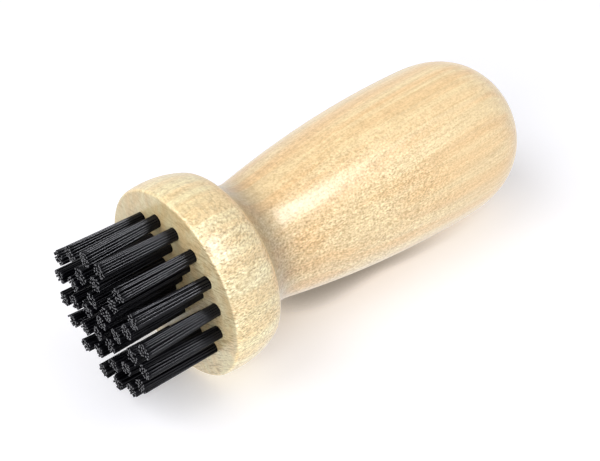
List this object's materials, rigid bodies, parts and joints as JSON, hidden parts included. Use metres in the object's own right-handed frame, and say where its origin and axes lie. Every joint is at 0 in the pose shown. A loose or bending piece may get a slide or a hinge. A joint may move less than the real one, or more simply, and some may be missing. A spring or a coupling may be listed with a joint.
{
  "type": "rivet brush",
  "caption": "Round hand brush for pressing film over rivets: a turned maple handle with a drilled flange head and stiff black filament tufts.",
  "frame": {"origin": "below the middle of the head, on the flat plane of the trimmed bristle tips", "axes": "+Z along the axis of the handle, from the bristle tips to the domed end"},
  "size_m": [0.05, 0.05, 0.135],
  "materials": {
    "maple": "clear semi-gloss lacquer",
    "filament": "extruded nylon filament, cut at the tips",
    "anchor_wire": "plain flat wire"
  },
  "bodies": {
    "root": {"handle": "maple", "tuft_centre": "filament", "tuft_inner_1": "filament", "tuft_inner_2": "filament", "tuft_inner_3": "filament", "tuft_inner_4": "filament", "tuft_inner_5": "filament", "tuft_inner_6": "filament", "tuft_middle_1": "filament", "tuft_middle_2": "filament", "tuft_middle_3": "filament", "tuft_middle_4": "filament", "tuft_middle_5": "filament", "tuft_middle_6": "filament", "tuft_middle_7": "filament", "tuft_middle_8": "filament", "tuft_middle_9": "filament", "tuft_middle_10": "filament", "tuft_middle_11": "filament", "tuft_outer_1": "filament", "tuft_outer_2": "filament", "tuft_outer_3": "filament", "tuft_outer_4": "filament", "tuft_outer_5": "filament", "tuft_outer_6": "filament", "tuft_outer_7": "filament", "tuft_outer_8": "filament", "tuft_outer_9": "filament", "tuft_outer_10": "filament", "tuft_outer_11": "filament", "tuft_outer_12": "filament", "tuft_outer_13": "filament", "tuft_outer_14": "filament", "tuft_outer_15": "filament", "tuft_outer_16": "filament", "anchors": "anchor_wire"}
  },
  "joints": []
}
